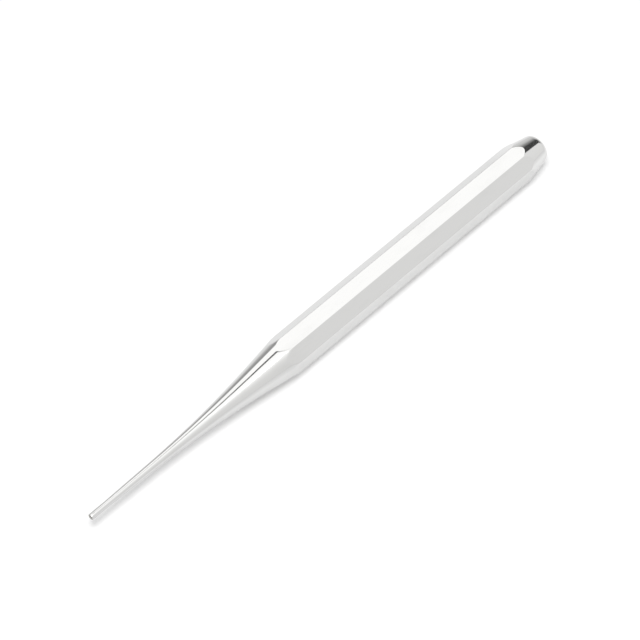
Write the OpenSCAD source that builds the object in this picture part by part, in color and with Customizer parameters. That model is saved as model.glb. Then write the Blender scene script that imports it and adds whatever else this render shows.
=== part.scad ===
// Nail setter ground from one bar of octagonal steel.
// It lies on one flat, with its tip towards -X and its striking head towards +X.
// The origin is under the middle of its length, on the surface that it lies on.

/* [Bar] */
// Overall length, from the tip face to the striking face
length = 185.7; // [160:0.1:240]
// Width across two opposite flats
across_flats = 12; // [9:0.5:16]
// Depth taken off each of the bar's eight sharp corners
corner_break = 0.04; // [0.02:0.01:0.2]

/* [Tip] */
// Diameter of the tip, which is the size of nail that it sets
tip_d = 2; // [1:0.1:4]
// Length of the parallel land behind the tip face
tip_land = 6; // [2:0.5:10]
// How much of the tip's radius its rounded rim takes up
tip_rim_share = 0.5; // [0.05:0.05:0.9]

/* [Taper] */
// Distance from the tip face to where the cone meets the flats
taper_length = 72.9; // [60:0.1:95]
// Half angle of the slender shaft behind the land
shaft_angle = 1.3; // [0.5:0.1:2.5]
// Half angle of the cone where it runs into the bar
cone_angle = 8.2; // [7:0.1:12]
// How much of the shorter of shaft and cone the flare between them takes up
flare_share = 0.74; // [0.2:0.01:0.98]

/* [Head] */
// Distance from the striking face to where the head's cone meets the flats
head_length = 7.8; // [5:0.1:12]
// Half angle of the head's cone
head_angle = 11.3; // [8:0.1:20]
// Diameter of the flat in the middle of the striking face
face_d = 4.4; // [2:0.2:5.4]

/* [Hidden] */

// The bar has eight flats, so its corners stand half a step from the middle of a flat
flats = 8;
corner_angle = 180 / flats;
flat_r = across_flats / 2;
corner_r = flat_r / cos(corner_angle) - corner_break;

// Facets round the turned surfaces, and steps along each drawn arc
turned_facets = 144;
arc_steps = 24;
rim_steps = 12;

// Length by which the bar stands out past the turned form at both ends, for a clean cut
overrun = 1;

// Places along the tool are measured from the tip face
tip_r = tip_d / 2;
tip_rim_r = tip_rim_share * tip_r;
shaft_slope = tan(shaft_angle);
cone_slope = tan(cone_angle);

// The shaft's line and the cone's line cross here
cross_at = (tip_r - shaft_slope * tip_land - flat_r + cone_slope * taper_length) / (cone_slope - shaft_slope);
cross_r = tip_r + shaft_slope * (cross_at - tip_land);

// The flare is an arc that runs off both lines smoothly, at the same distance from the crossing
shaft_run = (cross_at - tip_land) / cos(shaft_angle);
cone_run = (taper_length - cross_at) / cos(cone_angle);
flare_tangent = flare_share * min(shaft_run, cone_run);
flare_r = flare_tangent / tan((cone_angle - shaft_angle) / 2);
flare_at = cross_at - flare_tangent * cos(shaft_angle) - flare_r * sin(shaft_angle);
flare_centre_r = cross_r - flare_tangent * sin(shaft_angle) + flare_r * cos(shaft_angle);

// The cone leaves the bar's corners here
cone_end = taper_length + (corner_r - flat_r) / cone_slope;

// The head's cone starts at the corners and would meet the striking face at rim_corner_r
head_slope = tan(head_angle);
head_at = length - head_length - (corner_r - flat_r) / head_slope;
rim_corner_r = flat_r - head_slope * head_length;

// The striking face's rim is an arc from the head's cone to the flat
face_r = face_d / 2;
rim_turn = 90 - head_angle;
rim_r = (rim_corner_r - face_r) / tan(rim_turn / 2);
rim_at = length - rim_r;

// Points of an arc about a centre at [radius, place], with its angles measured from the outward radius
function arc(centre, r, from, to, steps) =
    [for (i = [0 : steps]) let (a = from + (to - from) * i / steps) centre + r * [cos(a), sin(a)]];

// Half outline of the turned form, as points [radius, place along the tool]
turned_outline = concat(
    [[0, 0]],
    arc([tip_r - tip_rim_r, tip_rim_r], tip_rim_r, -90, 0, rim_steps),
    [[tip_r, tip_land]],
    arc([flare_centre_r, flare_at], flare_r, 180 - shaft_angle, 180 - cone_angle, arc_steps),
    [[corner_r, cone_end], [corner_r, head_at]],
    arc([face_r, rim_at], rim_r, head_angle, 90, arc_steps),
    [[0, length]]
);

// The octagonal bar, standing on its end
module bar() {
    translate([0, 0, -overrun])
        rotate([0, 0, corner_angle])
            cylinder(r = flat_r / cos(corner_angle), h = length + 2 * overrun, $fn = flats);
}

// The form that grinding leaves: tip, slender shaft, flare, cone and head
module turned_form() {
    rotate_extrude($fn = turned_facets)
        polygon(turned_outline);
}

module nail_setter() {
    color("silver")
        translate([-length / 2, 0, flat_r])
            rotate([0, 90, 0])
                intersection() {
                    bar();
                    turned_form();
                }
}

nail_setter();
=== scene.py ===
"""A nail setter in Blender: its ground and plated body, and the pale studio in which it lies."""

import logging
import math
from dataclasses import dataclass
from enum import Enum
from typing import Any, Sequence

import bpy
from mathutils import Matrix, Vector


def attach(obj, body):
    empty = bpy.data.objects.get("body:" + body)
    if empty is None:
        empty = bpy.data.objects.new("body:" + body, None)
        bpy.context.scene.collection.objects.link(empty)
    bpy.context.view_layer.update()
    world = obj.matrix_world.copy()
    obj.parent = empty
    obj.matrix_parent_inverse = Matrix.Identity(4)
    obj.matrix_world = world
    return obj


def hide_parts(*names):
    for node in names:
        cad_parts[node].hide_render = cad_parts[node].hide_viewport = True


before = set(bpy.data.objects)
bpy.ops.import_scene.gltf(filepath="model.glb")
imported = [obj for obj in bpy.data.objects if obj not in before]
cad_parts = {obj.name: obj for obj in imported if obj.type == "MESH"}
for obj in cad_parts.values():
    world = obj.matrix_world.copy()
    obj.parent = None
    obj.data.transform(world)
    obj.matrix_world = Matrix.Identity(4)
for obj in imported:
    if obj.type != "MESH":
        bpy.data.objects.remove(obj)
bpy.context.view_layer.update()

# Metres in a millimetre, millimetres in a metre, and degrees in a radian
MM = 0.001
MM_PER_METRE = 1000.0
DEGREES = math.degrees(1)

# Places of a Mix node's two colours among its inputs, and of the mixed one among its outputs
FIRST_COLOUR = 6
SECOND_COLOUR = 7
MIXED_COLOUR = 2

Colour = tuple[float, float, float, float]
Span = tuple[float, float]
Stops = Sequence[tuple[float, float]]

WHITE: Colour = (1.0, 1.0, 1.0, 1.0)

log = logging.getLogger("nail_setter")


class Marks(Enum):
    """Which way fine marks run in the steel, as the spots in a metre along X, Y and Z."""

    ALONG = (60.0, 4000.0, 4000.0)
    ROUND = (5000.0, 120.0, 120.0)


class Value:
    """One number at each point of a surface, which takes part in Python arithmetic."""

    def __init__(self, graph: "Graph", socket: bpy.types.NodeSocket) -> None:
        """Wraps a socket.

        Args:
            graph: The graph that new nodes are added to.
            socket: The output that holds the number.
        """
        self.graph = graph
        self.socket = socket

    def __add__(self, other: "Value | float") -> "Value":
        """Adds another value or number."""
        return self.graph.math("ADD", self, other)

    def __radd__(self, other: float) -> "Value":
        """Adds to a number."""
        return self.graph.math("ADD", other, self)

    def __sub__(self, other: "Value | float") -> "Value":
        """Takes another value or number away."""
        return self.graph.math("SUBTRACT", self, other)

    def __rsub__(self, other: float) -> "Value":
        """Takes this value away from a number."""
        return self.graph.math("SUBTRACT", other, self)

    def __mul__(self, other: "Value | float") -> "Value":
        """Multiplies by another value or number."""
        return self.graph.math("MULTIPLY", self, other)

    def __rmul__(self, other: float) -> "Value":
        """Multiplies a number."""
        return self.graph.math("MULTIPLY", other, self)

    def __truediv__(self, other: "Value | float") -> "Value":
        """Divides by another value or number."""
        return self.graph.math("DIVIDE", self, other)


class Graph:
    """The nodes of one material or world."""

    def __init__(self, tree: bpy.types.NodeTree) -> None:
        """Starts from an empty tree.

        Args:
            tree: The tree to fill, whose nodes are removed.
        """
        self.tree = tree
        tree.nodes.clear()

    def node(
        self, kind: str, settings: dict[str, Any] | None = None, inputs: dict[Any, Any] | None = None
    ) -> bpy.types.Node:
        """Adds one node.

        Args:
            kind: The node's type.
            settings: Properties of the node, which are set first.
            inputs: Numbers, colours or links for its sockets, by name or place.

        Returns:
            The new node.
        """
        made = self.tree.nodes.new(kind)
        for name, setting in (settings or {}).items():
            setattr(made, name, setting)
        for name, term in (inputs or {}).items():
            self.feed(made.inputs[name], term)
        return made

    def feed(self, socket: bpy.types.NodeSocket, term: Any) -> None:
        """Links a value or an output to an input, or sets a plain number or colour on it.

        Args:
            socket: The input.
            term: What it gets.
        """
        if isinstance(term, Value):
            term = term.socket
        if isinstance(term, bpy.types.NodeSocket):
            self.tree.links.new(term, socket)
        else:
            socket.default_value = term

    def place(self) -> bpy.types.NodeSocket:
        """Gives the place of each point on the object, in metres."""
        return self.node("ShaderNodeTexCoord").outputs["Object"]

    def math(self, operation: str, *terms: "Value | float") -> Value:
        """Adds a Math node.

        Args:
            operation: The node's operation.
            terms: Its one to three terms.

        Returns:
            The result.
        """
        made = self.node("ShaderNodeMath", {"operation": operation}, dict(enumerate(terms)))
        return Value(self, made.outputs[0])

    def ease(self, term: Value, span: Span) -> Value:
        """Rises smoothly from 0 to 1 over a span.

        Args:
            term: The value that is compared.
            span: Where the result is 0, and where it is 1.

        Returns:
            The eased value.
        """
        low, high = span
        made = self.node(
            "ShaderNodeMapRange",
            {"interpolation_type": "SMOOTHSTEP"},
            {"Value": term, "From Min": low, "From Max": high},
        )
        return Value(self, made.outputs["Result"])

    def within(self, term: Value, rise: Span, fall: Span) -> Value:
        """Rises smoothly from 0 to 1 over one span, and falls back over a later one.

        Args:
            term: The value that is compared.
            rise: Where the result starts to rise, and where it is 1.
            fall: Where the result starts to fall, and where it is 0.

        Returns:
            The eased value.
        """
        return self.ease(term, rise) * (1 - self.ease(term, fall))

    def ramp(self, term: Value, stops: Stops) -> Value:
        """Reads a value off a line through several stops.

        Args:
            term: The value to look up.
            stops: Pairs of a looked up value and its result, in rising order.

        Returns:
            The result, which is level past both ends.
        """
        low, high = stops[0][0], stops[-1][0]
        made = self.node("ShaderNodeValToRGB", None, {0: (term - low) / (high - low)})
        line = made.color_ramp
        while len(line.elements) < len(stops):
            line.elements.new(1.0)
        for element, (place, result) in zip(line.elements, stops):
            element.position = (place - low) / (high - low)
            element.color = (result, result, result, 1.0)
        return Value(self, made.outputs[0])

    def blend(self, share: "Value | float", first: Any, second: Any) -> bpy.types.NodeSocket:
        """Mixes two colours.

        Args:
            share: How much of the second colour shows.
            first: A colour or an output.
            second: A colour or an output.

        Returns:
            The mixed colour's output.
        """
        inputs = {"Factor": share, FIRST_COLOUR: first, SECOND_COLOUR: second}
        return self.node("ShaderNodeMix", {"data_type": "RGBA"}, inputs).outputs[MIXED_COLOUR]

    def vector(self, operation: str, *terms: Any) -> bpy.types.NodeSocket:
        """Adds a Vector Math node that gives a vector.

        Args:
            operation: The node's operation.
            terms: Its vectors.

        Returns:
            The resulting vector's output.
        """
        made = self.node("ShaderNodeVectorMath", {"operation": operation}, dict(enumerate(terms)))
        return made.outputs["Vector"]

    def measure(self, operation: str, *terms: Any) -> Value:
        """Adds a Vector Math node that gives a number.

        Args:
            operation: The node's operation.
            terms: Its vectors.

        Returns:
            The result.
        """
        made = self.node("ShaderNodeVectorMath", {"operation": operation}, dict(enumerate(terms)))
        return Value(self, made.outputs["Value"])

    def split(self, vector: bpy.types.NodeSocket) -> tuple[Value, Value, Value]:
        """Takes a vector apart.

        Args:
            vector: The vector's output.

        Returns:
            Its three parts.
        """
        made = self.node("ShaderNodeSeparateXYZ", None, {0: vector})
        x, y, z = (Value(self, part) for part in made.outputs)
        return x, y, z

    def noise(self, place: bpy.types.NodeSocket, spots: Sequence[float], layers: float) -> Value:
        """Adds a noise, which runs from 0 to 1 about 0.5.

        Args:
            place: The coordinates.
            spots: How many spots there are in a metre along each axis.
            layers: How many finer layers it has.

        Returns:
            The noise.
        """
        scaled = self.vector("MULTIPLY", place, tuple(spots))
        made = self.node("ShaderNodeTexNoise", None, {"Vector": scaled, "Scale": 1.0, "Detail": layers})
        return Value(self, made.outputs[0])

    def rays(self, *kinds: str) -> Value:
        """Tells some kinds of rays from the others.

        Args:
            kinds: The Light Path node's outputs for the kinds that count.

        Returns:
            1 for a ray of any of these kinds, and 0 for the others.
        """
        outputs = self.node("ShaderNodeLightPath").outputs
        seen = Value(self, outputs[kinds[0]])
        for kind in kinds[1:]:
            seen = self.math("MAXIMUM", seen, Value(self, outputs[kind]))
        return seen


def between(first: "Value | float", second: "Value | float", share: Value) -> Value:
    """Goes from one value towards another.

    Args:
        first: The result where the share is 0.
        second: The result where the share is 1.
        share: How far it goes.

    Returns:
        The value in between.
    """
    return first + share * (second - first)


def new_material(name: str) -> tuple[bpy.types.Material, Graph]:
    """Makes a material with nothing in it yet.

    Args:
        name: The material's name.

    Returns:
        The material, and the graph of its nodes.
    """
    made = bpy.data.materials.new(name)
    made.use_nodes = True
    return made, Graph(made.node_tree)


def deselect_all() -> None:
    """Leaves nothing selected and no object in edit mode."""
    if bpy.context.object and bpy.context.object.mode != "OBJECT":
        bpy.ops.object.mode_set(mode="OBJECT")
    bpy.ops.object.select_all(action="DESELECT")


def work_on(piece: bpy.types.Object) -> None:
    """Selects one object alone and makes it the active one.

    Args:
        piece: The object.
    """
    deselect_all()
    piece.select_set(True)
    bpy.context.view_layer.objects.active = piece


def apply_modifier(piece: bpy.types.Object, kind: str, **settings: Any) -> None:
    """Adds a modifier and applies it.

    Args:
        piece: The object that gets it.
        kind: The modifier's type.
        settings: The modifier's properties.
    """
    work_on(piece)
    bpy.ops.object.modifier_add(type=kind)
    modifier = piece.modifiers[-1]
    for name, setting in settings.items():
        setattr(modifier, name, setting)
    bpy.ops.object.modifier_apply(modifier=modifier.name)


@dataclass
class NailSetter:
    """The tool, one bar of octagonal steel.

    Sizes are in millimetres, places are from the tip face, and angles are in degrees. The creases
    are the edges that the taper's cone leaves on the flats, and the corners are the bar's own. An
    edge counts as a flat's if its faces turn by least_turn and it lies no deeper than flat_slack.
    """

    name: str = "nail_setter_body"
    length: float = 185.7
    flats: int = 8
    across_flats: float = 12.0
    tip_diameter: float = 2.0
    tip_land: float = 6.0
    tip_rim: float = 0.5
    taper_length: float = 72.9
    shaft_angle: float = 1.3
    cone_angle: float = 8.2
    flare_share: float = 0.74
    head_length: float = 7.8
    head_angle: float = 11.3
    face_diameter: float = 4.4

    corner_softening: float = 0.085
    crease_softening: float = 0.42
    head_softening: float = 0.1
    softening_steps: int = 8
    least_turn: float = 5.0
    corner_turn: float = 40.0
    flat_slack: float = 0.001

    facets: int = 384
    tip_steps: int = 8
    flare_steps: int = 48
    rim_steps: int = 24
    stock_radius: float = 7.0
    overrun: float = 5.0
    merge_distance: float = 1e-4
    smooth_angle: float = 28.0
    large_face_weight: int = 100

    def tip_outline(self) -> list[Span]:
        """Works out the tip's rounded rim, and the land behind it.

        Returns:
            Points of place and radius.
        """
        tip_radius = self.tip_diameter / 2
        points = []
        for step in range(self.tip_steps + 1):
            turn = math.pi / 2 * step / self.tip_steps
            place = self.tip_rim * (1 - math.cos(turn))
            points.append((place, tip_radius - self.tip_rim * (1 - math.sin(turn))))
        points.append((self.tip_land, tip_radius))
        return points

    def taper_outline(self) -> list[Span]:
        """Works out the slender shaft, the flare into the cone, and the cone out past the corners.

        Returns:
            Points of place and radius.
        """
        tip_radius = self.tip_diameter / 2
        flat_radius = self.across_flats / 2
        shaft, cone = math.radians(self.shaft_angle), math.radians(self.cone_angle)
        shaft_slope, cone_slope = math.tan(shaft), math.tan(cone)

        # The shaft's line and the cone's line cross here, and the flare is an arc that touches both
        cross_at = (
            tip_radius - shaft_slope * self.tip_land - flat_radius + cone_slope * self.taper_length
        ) / (cone_slope - shaft_slope)
        cross_radius = tip_radius + shaft_slope * (cross_at - self.tip_land)
        tangent = self.flare_share * min(
            (cross_at - self.tip_land) / math.cos(shaft), (self.taper_length - cross_at) / math.cos(cone)
        )
        flare_radius = tangent / math.tan((cone - shaft) / 2)
        flare_at = cross_at - tangent * math.cos(shaft) - flare_radius * math.sin(shaft)
        flare_centre = cross_radius - tangent * math.sin(shaft) + flare_radius * math.cos(shaft)

        points = []
        for step in range(self.flare_steps + 1):
            turn = shaft + (cone - shaft) * step / self.flare_steps
            place = flare_at + flare_radius * math.sin(turn)
            points.append((place, flare_centre - flare_radius * math.cos(turn)))
        cone_until = self.taper_length + (self.stock_radius - flat_radius) / cone_slope
        points.append((cone_until, self.stock_radius))
        return points

    def head_outline(self) -> list[Span]:
        """Works out the head's cone and the rounded rim of the striking face.

        Returns:
            Points of place and radius.
        """
        flat_radius = self.across_flats / 2
        face_radius = self.face_diameter / 2
        head = math.radians(self.head_angle)
        head_slope = math.tan(head)
        head_from = self.length - self.head_length - (self.stock_radius - flat_radius) / head_slope
        rim_corner = flat_radius - head_slope * self.head_length
        rim_radius = (rim_corner - face_radius) / math.tan((math.pi / 2 - head) / 2)

        points = [(head_from, self.stock_radius)]
        for step in range(self.rim_steps + 1):
            turn = head + (math.pi / 2 - head) * step / self.rim_steps
            place = self.length - rim_radius * (1 - math.sin(turn))
            points.append((place, face_radius + rim_radius * math.cos(turn)))
        return points

    def turn_form(self) -> bpy.types.Object:
        """Turns the form: a disc at the tip is drawn out step by step along the outline.

        Returns:
            The turned form, in millimetres, along X.
        """
        points = self.tip_outline() + self.taper_outline() + self.head_outline()
        place, radius = points[0]
        bpy.ops.mesh.primitive_circle_add(
            vertices=self.facets,
            radius=radius,
            fill_type="NGON",
            location=(place, 0, 0),
            rotation=(0, math.pi / 2, 0),
        )
        form = bpy.context.object
        bpy.ops.object.transform_apply(location=True, rotation=True, scale=True)
        bpy.ops.object.mode_set(mode="EDIT")
        bpy.ops.mesh.select_all(action="SELECT")
        for next_place, next_radius in points[1:]:
            bpy.ops.mesh.extrude_region_move(
                TRANSFORM_OT_translate={"value": (next_place - place, 0, 0)}
            )
            share = next_radius / radius
            bpy.ops.transform.resize(value=(1, share, share), center_override=(next_place, 0, 0))
            place, radius = next_place, next_radius
        bpy.ops.mesh.select_all(action="SELECT")
        bpy.ops.mesh.normals_make_consistent(inside=False)
        bpy.ops.object.mode_set(mode="OBJECT")
        return form

    def draw_bar(self) -> bpy.types.Object:
        """Draws the octagonal bar.

        Returns:
            The bar, in millimetres, along X, longer than the tool at both ends.
        """
        corner = math.pi / self.flats
        bpy.ops.mesh.primitive_cylinder_add(
            vertices=self.flats,
            radius=self.across_flats / 2 / math.cos(corner),
            depth=self.length + 2 * self.overrun,
            location=(self.length / 2, 0, 0),
            rotation=(0, math.pi / 2, 0),
        )
        bar = bpy.context.object
        bpy.ops.object.transform_apply(location=True, rotation=True, scale=True)
        bpy.ops.object.mode_set(mode="EDIT")
        bpy.ops.mesh.select_all(action="SELECT")
        bpy.ops.transform.rotate(value=corner, orient_axis="X", center_override=(0, 0, 0))
        bpy.ops.mesh.normals_make_consistent(inside=False)
        bpy.ops.object.mode_set(mode="OBJECT")
        return bar

    def softening(self, middle: Vector, turn: float) -> float:
        """Chooses how widely polishing has softened one edge.

        Args:
            middle: The edge's middle.
            turn: The angle between the edge's two faces.

        Returns:
            The width, which is 0 for an edge that doesn't bound a flat.
        """
        if middle.yz.length < self.across_flats / 2 - self.flat_slack or turn < self.least_turn:
            return 0.0
        if turn > self.corner_turn:
            return self.corner_softening
        return self.crease_softening if middle.x < self.length / 2 else self.head_softening

    def soften_edges(self, body: bpy.types.Object) -> None:
        """Rounds the flats' edges, the creases at the taper most.

        Args:
            body: The tool's body.
        """
        work_on(body)
        mesh = body.data
        normals: dict[tuple[int, int], list[Vector]] = {}
        for face in mesh.polygons:
            for key in face.edge_keys:
                normals.setdefault(key, []).append(face.normal)
        weights = mesh.attributes.new("bevel_weight_edge", "FLOAT", "EDGE")
        for edge in mesh.edges:
            middle = sum((mesh.vertices[number].co for number in edge.vertices), Vector()) / 2
            turn = math.degrees(normals[edge.key][0].angle(normals[edge.key][1]))
            weights.data[edge.index].value = self.softening(middle, turn) / self.crease_softening
        apply_modifier(
            body,
            "BEVEL",
            limit_method="WEIGHT",
            width=self.crease_softening,
            segments=self.softening_steps,
            use_clamp_overlap=False,
        )

    def build(self) -> bpy.types.Object:
        """Makes the body and puts it where the CAD model is.

        Returns:
            The finished body, in metres.
        """
        deselect_all()
        body = self.turn_form()
        deselect_all()
        bar = self.draw_bar()
        apply_modifier(body, "BOOLEAN", operation="INTERSECT", solver="EXACT", object=bar)
        bpy.data.objects.remove(bar)
        work_on(body)
        bpy.ops.object.mode_set(mode="EDIT")
        bpy.ops.mesh.select_all(action="SELECT")
        bpy.ops.mesh.remove_doubles(threshold=self.merge_distance)
        bpy.ops.mesh.normals_make_consistent(inside=False)
        bpy.ops.mesh.select_all(action="DESELECT")
        bpy.ops.object.mode_set(mode="OBJECT")
        self.soften_edges(body)
        work_on(body)
        body.location = (-self.length / 2 * MM, 0, self.across_flats / 2 * MM)
        body.scale = (MM, MM, MM)
        bpy.ops.object.transform_apply(location=True, rotation=True, scale=True)
        bpy.ops.object.shade_smooth_by_angle(angle=math.radians(self.smooth_angle))
        apply_modifier(
            body, "WEIGHTED_NORMAL", mode="FACE_AREA", weight=self.large_face_weight, keep_sharp=True
        )
        body.name = self.name
        body.data.name = self.name
        return body


@dataclass(frozen=True)
class ChromePlating:
    """Bright plating over ground steel, darker and rougher on the tip's end.

    Sizes are in millimetres. The noises' spots are counted in a metre, and the heights of the marks
    and waves are in thousandths of a millimetre, which height_unit gives in metres.
    """

    name: str = "chrome_plate"
    colour: Colour = (0.69, 0.69, 0.685, 1.0)
    hazed_colour: Colour = (0.65, 0.65, 0.643, 1.0)
    tip_end_colour: Colour = (0.4, 0.39, 0.375, 1.0)
    roughness: float = 0.045
    mark_roughness: float = 0.1
    haze_roughness: float = 0.02
    tip_end_roughness: float = 0.36

    mark_layers: float = 3.0
    mark_height: float = 0.4
    wave_spots: Sequence[float] = (45.0, 60.0, 60.0)
    wave_layers: float = 1.0
    wave_height: float = 6.0
    height_unit: float = 1e-6
    haze_spots: Sequence[float] = (90.0, 260.0, 260.0)
    haze_layers: float = 4.0
    haze_from: Span = (0.45, 0.75)
    haze_tint: float = 0.5

    flat_radius: float = 6.0
    flat_from: Span = (5.97, 5.998)
    tip_at: float = -92.85
    tip_end_until: Span = (0.16, 0.28)
    tip_end_ragged: float = 0.06

    def on_flat(self, graph: Graph, y: Value, z: Value) -> Value:
        """Tells the bar's flats from the turned surfaces, which lie deeper.

        Args:
            graph: The material's nodes.
            y: The place across the tool.
            z: The place above the floor.

        Returns:
            1 on the flats, and 0 on the turned surfaces.
        """
        across = graph.math("ABSOLUTE", y * MM_PER_METRE)
        above = graph.math("ABSOLUTE", z * MM_PER_METRE - self.flat_radius)
        slanted = (across + above) * math.sqrt(0.5)
        reach = graph.math("MAXIMUM", graph.math("MAXIMUM", across, above), slanted)
        return graph.ease(reach, self.flat_from)

    def material(self) -> bpy.types.Material:
        """Makes the material.

        Returns:
            The plating.
        """
        made, graph = new_material(self.name)
        place = graph.place()
        x, y, z = graph.split(place)

        on_flat = self.on_flat(graph, y, z)
        drawn = graph.noise(place, Marks.ALONG.value, self.mark_layers)
        ground = graph.noise(place, Marks.ROUND.value, self.mark_layers)
        marks = on_flat * drawn + (1 - on_flat) * ground
        waves = graph.noise(place, self.wave_spots, self.wave_layers)
        haze = graph.ease(graph.noise(place, self.haze_spots, self.haze_layers), self.haze_from)
        # Darker and rougher on the tip's end, with a ragged border
        behind_tip = x * MM_PER_METRE - self.tip_at + marks * self.tip_end_ragged
        tip_end = 1 - graph.ease(behind_tip, self.tip_end_until)

        height = marks * self.mark_height + waves * self.wave_height
        bump = graph.node(
            "ShaderNodeBump", None, {"Strength": 1.0, "Distance": self.height_unit, "Height": height}
        )
        plated = graph.blend(haze * self.haze_tint, self.colour, self.hazed_colour)
        polish = self.roughness + marks * self.mark_roughness + haze * self.haze_roughness
        shader = graph.node(
            "ShaderNodeBsdfPrincipled",
            None,
            {
                "Base Color": graph.blend(tip_end, plated, self.tip_end_colour),
                "Metallic": 1.0,
                "Roughness": between(polish, self.tip_end_roughness, tip_end),
                "Normal": bump.outputs[0],
            },
        )
        graph.node("ShaderNodeOutputMaterial", None, {"Surface": shader.outputs[0]})
        return made


@dataclass(frozen=True)
class TentCloth:
    """The tent's pale cloth, which glows as bright as each part of it is lit.

    The front wall is on the camera's side, the room is the dim opening that the tip points at, and
    the bright panel hangs over the back wall, with the slit in it. Directions are in degrees, as
    seen from the tool. Azimuth turns from +X towards +Y, the camera looks from azimuth 225, and
    left and right are the picture's. The slit's places are lengths at a height of 1 over the tool,
    measured away from the camera and, for its strength, to the right.
    """

    name: str = "studio_tent_cloth"
    colour: Colour = (1.0, 0.997, 0.992, 1.0)

    front_wall: Stops = (
        (-20, 0.93),
        (10, 0.93),
        (25, 0.945),
        (38, 0.975),
        (47, 1.03),
        (57, 1.1),
        (68, 1.28),
        (79, 1.4),
        (90, 1.42),
    )
    front_right_gain: float = 0.07
    front_right_from: Span = (-85, -25)
    front_right_until: Span = (60, 120)
    front_right_top: Span = (30, 55)

    room_towards: tuple[float, float, float] = (-0.986, -0.086, 0.14)
    room_edge: Span = (0.76, 0.95)
    room_level: float = 0.25

    back_wall: Stops = (
        (-14, 1.08),
        (-4, 1.0),
        (0, 0.95),
        (8, 0.84),
        (15, 0.75),
        (20, 0.62),
        (25, 0.4),
        (29, 0.25),
        (32.5, 0.16),
        (36, 0.09),
        (44, 0.07),
    )
    back_wall_from: Span = (-5.5, -2.5)
    back_wall_until: Span = (103, 133)
    left_drop: float = 6.0
    left_drop_from: Span = (48, 72)
    right_drop: float = 12.0
    right_drop_until: Span = (16, 27)
    far_left_share: float = 0.82
    far_left_from: Span = (75.5, 78.5)
    left_darkest: float = 0.42
    left_darkest_from: Span = (60, 74)

    bright_panel: float = 1.42
    panel_foot_right: float = 43.0
    panel_foot_left: float = 32.5
    panel_foot_from: Span = (44, 66)
    panel_foot_edge: Span = (-1, 1)

    slit_azimuth: float = 44.8
    slit_near_edge: Span = (0.29, 0.33)
    slit_far_edge: Span = (0.43, 0.47)
    slit_strength: Stops = (
        (-0.9, 0.0),
        (-0.8, 1.0),
        (-0.1, 1.0),
        (-0.035, 0.55),
        (0.03, 0.42),
        (0.07, 0.15),
        (0.1, 0.0),
    )
    slit_level: float = 0.04
    slit_least_height: float = 0.05

    def front(self, graph: Graph, azimuth: Value, elevation: Value) -> Value:
        """Lights the wall on the camera's side, a little more low down on the right.

        Args:
            graph: The cloth's nodes.
            azimuth: The direction round the tool.
            elevation: The direction above the floor.

        Returns:
            The wall's brightness.
        """
        right = graph.within(azimuth, self.front_right_from, self.front_right_until)
        low = 1 - graph.ease(elevation, self.front_right_top)
        return graph.ramp(elevation, self.front_wall) + right * low * self.front_right_gain

    def back(self, graph: Graph, azimuth: Value, elevation: Value) -> Value:
        """Darkens the back wall towards the foot of the bright panel that hangs above it.

        Args:
            graph: The cloth's nodes.
            azimuth: The direction round the tool.
            elevation: The direction above the floor.

        Returns:
            The brightness of the wall and the panel.
        """
        drop = graph.ease(azimuth, self.left_drop_from) * self.left_drop
        drop = drop + (1 - graph.ease(azimuth, self.right_drop_until)) * self.right_drop
        wall = graph.ramp(elevation + drop, self.back_wall)
        wall = wall * (1 - graph.ease(azimuth, self.far_left_from) * (1 - self.far_left_share))
        darkest = graph.ease(azimuth, self.left_darkest_from) * self.left_darkest
        wall = graph.math("MAXIMUM", wall, darkest)

        turned = graph.ease(azimuth, self.panel_foot_from)
        foot = between(self.panel_foot_right, self.panel_foot_left, turned)
        return between(wall, self.bright_panel, graph.ease(elevation - foot, self.panel_foot_edge))

    def slit(self, graph: Graph, x: Value, y: Value, z: Value) -> Value:
        """Places the thin dark slit in the panel, which shows as a line along the taper.

        Args:
            graph: The cloth's nodes.
            x: The direction's part along the tool.
            y: The direction's part across the tool.
            z: The direction's upward part.

        Returns:
            How much of the slit shows.
        """
        turn = math.radians(self.slit_azimuth)
        height = graph.math("MAXIMUM", z, self.slit_least_height)
        away = (x * math.cos(turn) + y * math.sin(turn)) / height
        aside = (x * math.sin(turn) - y * math.cos(turn)) / height
        dark = graph.within(away, self.slit_near_edge, self.slit_far_edge)
        return dark * graph.ramp(aside, self.slit_strength)

    def material(self) -> bpy.types.Material:
        """Makes the cloth.

        Returns:
            The cloth.
        """
        made, graph = new_material(self.name)
        direction = graph.vector("NORMALIZE", graph.place())
        x, y, z = graph.split(direction)
        azimuth = graph.math("ARCTAN2", y, x) * DEGREES
        elevation = graph.math("ARCSINE", z) * DEGREES

        facing_room = graph.measure("DOT_PRODUCT", direction, self.room_towards)
        room = graph.ease(facing_room, self.room_edge)
        light = between(self.front(graph, azimuth, elevation), self.room_level, room)
        behind = graph.within(azimuth, self.back_wall_from, self.back_wall_until)
        light = between(light, self.back(graph, azimuth, elevation), behind)
        light = between(light, self.slit_level, self.slit(graph, x, y, z))

        glow = graph.node("ShaderNodeEmission", None, {"Color": self.colour, "Strength": light})
        graph.node("ShaderNodeOutputMaterial", None, {"Surface": glow.outputs[0]})
        made.cycles.emission_sampling = "NONE"
        return made


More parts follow.
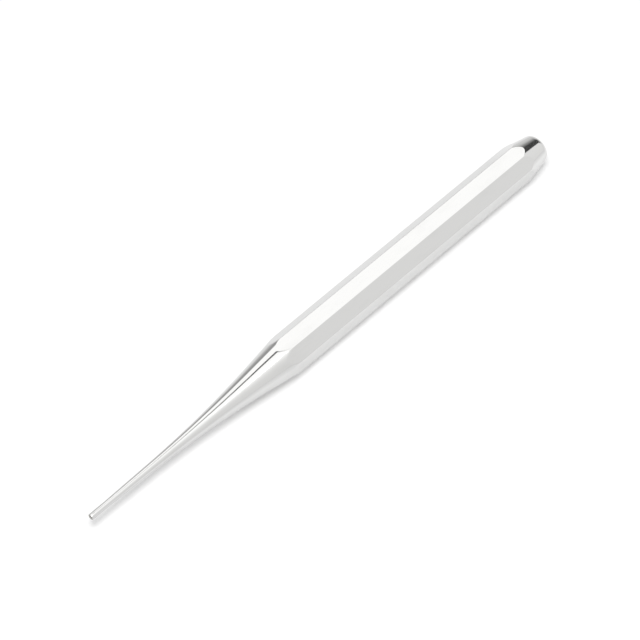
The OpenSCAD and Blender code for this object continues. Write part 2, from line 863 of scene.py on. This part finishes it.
@dataclass
class LightTent:
    """A tent round the tool, which only its polished faces see. Sizes are in metres."""

    name: str = "studio_light_tent"
    radius: float = 3.0
    segments: int = 64
    rings: int = 32
    below_floor: float = 0.2

    def build(self, cloth: bpy.types.Material) -> bpy.types.Object:
        """Makes the tent, a dome that reaches a little below the floor.

        Args:
            cloth: What the tent is made of.

        Returns:
            The dome.
        """
        deselect_all()
        bpy.ops.mesh.primitive_uv_sphere_add(
            segments=self.segments, ring_count=self.rings, radius=self.radius
        )
        dome = bpy.context.object
        dome.name = self.name
        bpy.ops.object.mode_set(mode="EDIT")
        bpy.ops.mesh.select_all(action="SELECT")
        bpy.ops.mesh.bisect(plane_co=(0, 0, -self.below_floor), plane_no=(0, 0, 1), clear_inner=True)
        bpy.ops.object.mode_set(mode="OBJECT")
        bpy.ops.object.shade_smooth()
        dome.data.materials.append(cloth)
        dome.visible_camera = False
        dome.visible_diffuse = False
        dome.visible_shadow = False
        return dome


@dataclass(frozen=True)
class FloorWhite:
    """The floor's white, lifted evenly where the camera looks at it. Where polished metal looks at it,
    the lift is a painted reflection: stronger or weaker by the distance from the tool, with painted
    shade near the tip and painted glow past the head. Sizes are in metres.
    """

    name: str = "studio_floor_white"
    colour: Colour = (0.94, 0.94, 0.94, 1.0)
    lift: float = 0.16
    far_lift: float = 0.42
    far_from: Span = (0.2, 1.2)
    tool_reach: float = 0.0928
    painted_reflection_share: Stops = (
        (0.0, 0.45),
        (0.007, 0.4),
        (0.0085, 0.5),
        (0.0098, 0.88),
        (0.014, 1.1),
        (0.019, 1.25),
        (0.024, 0.75),
        (0.032, 0.6),
        (0.05, 0.3),
        (0.075, 0.0),
    )
    painted_shade_by_tip: float = 0.3
    tip_until: Span = (-0.088, -0.06)
    painted_glow_past_head: float = 0.6
    head_from: Span = (0.085, 0.1)

    def painted_reflection(self, graph: Graph, place: bpy.types.NodeSocket) -> Value:
        """Works out the painted reflection: how much of the lift polished metal sees, by the distance
        from the tool, and less near the tip as painted shade.

        Args:
            graph: The floor's nodes.
            place: The place on the floor.

        Returns:
            The share of the lift.
        """
        x, y, _ = graph.split(place)
        past_end = graph.math("ABSOLUTE", x) - self.tool_reach
        beside = graph.math("MAXIMUM", graph.math("ABSOLUTE", y), past_end)
        # Painted reflection: the metal sees the floor brighter or darker by the distance from the tool
        share = graph.ramp(beside, self.painted_reflection_share)
        # Painted shade: near the tip the metal sees less of the lift
        share = share * between(self.painted_shade_by_tip, 1.0, graph.ease(x, self.tip_until))
        # Painted glow: past the head the metal sees more of the lift
        return share + graph.ease(x, self.head_from) * self.painted_glow_past_head

    def material(self) -> bpy.types.Material:
        """Makes the white, which keeps the tool's shadow and is lifted more far from the tool, with the
        painted reflection that polished metal sees.

        Returns:
            The floor's finish.
        """
        made, graph = new_material(self.name)
        place = graph.place()
        straight = graph.rays("Is Camera Ray", "Is Transmission Ray")
        # Painted reflection for polished metal, set by the place on the floor
        polished = self.painted_reflection(graph, place) * graph.rays("Is Glossy Ray")
        seen = graph.math("MAXIMUM", straight, polished)
        far = graph.ease(graph.measure("LENGTH", place), self.far_from)
        glow = seen * self.lift + straight * far * self.far_lift

        paint = graph.node("ShaderNodeBsdfDiffuse", None, {"Color": self.colour})
        lift = graph.node("ShaderNodeEmission", None, {"Color": WHITE, "Strength": glow})
        both = graph.node("ShaderNodeAddShader", None, {0: paint.outputs[0], 1: lift.outputs[0]})
        graph.node("ShaderNodeOutputMaterial", None, {"Surface": both.outputs[0]})
        return made


@dataclass
class Studio:
    """The floor, the plain surroundings and the soft lamp. Sizes are in metres, angles in degrees."""

    floor_size: float = 12.0
    sky_level: float = 0.5
    key_azimuth: float = 225.0
    key_elevation: float = 76.5
    key_distance: float = 1.2
    key_size: float = 0.6
    key_power: float = 7.3

    def floor(self, white: bpy.types.Material) -> bpy.types.Object:
        """Lays the floor, with its top at the height that the tool lies on.

        Args:
            white: The floor's finish.

        Returns:
            The floor.
        """
        deselect_all()
        bpy.ops.mesh.primitive_plane_add(size=self.floor_size, location=(0, 0, 0))
        made = bpy.context.object
        made.name = "studio_floor"
        made.data.materials.append(white)
        return made

    def world(self) -> None:
        """Sets the plain pale surroundings, which the camera and polished metal see as white."""
        made = bpy.data.worlds.new("studio_surroundings")
        made.use_nodes = True
        graph = Graph(made.node_tree)
        seen = graph.rays("Is Camera Ray", "Is Glossy Ray", "Is Transmission Ray")
        level = between(self.sky_level, 1.0, seen)
        plain = graph.node("ShaderNodeBackground", None, {"Color": WHITE, "Strength": level})
        graph.node("ShaderNodeOutputWorld", None, {"Surface": plain.outputs[0]})
        bpy.context.scene.world = made

    def key_lamp(self) -> bpy.types.Object:
        """Hangs the large soft lamp over the camera's side.

        Returns:
            The lamp.
        """
        azimuth, elevation = math.radians(self.key_azimuth), math.radians(self.key_elevation)
        towards = Vector(
            (
                math.cos(elevation) * math.cos(azimuth),
                math.cos(elevation) * math.sin(azimuth),
                math.sin(elevation),
            )
        )
        deselect_all()
        bpy.ops.object.light_add(
            type="AREA",
            location=towards * self.key_distance,
            rotation=towards.to_track_quat("Z", "Y").to_euler(),
        )
        made = bpy.context.object
        made.name = "studio_key_lamp"
        made.data.shape = "DISK"
        made.data.size = self.key_size
        made.data.energy = self.key_power
        made.visible_camera = False
        return made


@dataclass
class Viewpoint:
    """The photograph's camera. Lengths are in millimetres, apart from the clipping in metres."""

    lens: float = 133.56
    sensor: float = 36.0
    target: tuple[float, float, float] = (0.93, 3.593, 2.246)
    towards: tuple[float, float, float] = (-0.4013, -0.3996, 0.8242)
    distance: float = 699.4
    clip: Span = (0.01, 100.0)

    def build(self) -> bpy.types.Object:
        """Places the camera.

        Returns:
            The camera.
        """
        back = Vector(self.towards).normalized()
        deselect_all()
        bpy.ops.object.camera_add(
            location=(Vector(self.target) + back * self.distance) * MM,
            rotation=back.to_track_quat("Z", "Y").to_euler(),
        )
        made = bpy.context.object
        made.name = "camera"
        made.data.lens = self.lens
        made.data.sensor_width = self.sensor
        made.data.clip_start, made.data.clip_end = self.clip
        made.data.dof.use_dof = False
        bpy.context.scene.camera = made
        return made


def main() -> None:
    """Builds the camera, the tool and the studio."""
    logging.basicConfig(level=logging.INFO, format="%(name)s: %(message)s")
    log.info("%s", Viewpoint().build().name)

    body = NailSetter().build()
    body.data.materials.clear()
    body.data.materials.append(ChromePlating().material())
    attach(body, "root")
    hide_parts("nail_setter")
    log.info("%s: %d faces", body.name, len(body.data.polygons))

    studio = Studio()
    log.info("%s", studio.floor(FloorWhite().material()).name)
    log.info("%s", studio.key_lamp().name)
    log.info("%s", LightTent().build(TentCloth().material()).name)
    studio.world()
    bpy.context.scene.view_settings.view_transform = "Standard"


if __name__ == "__main__":
    main()
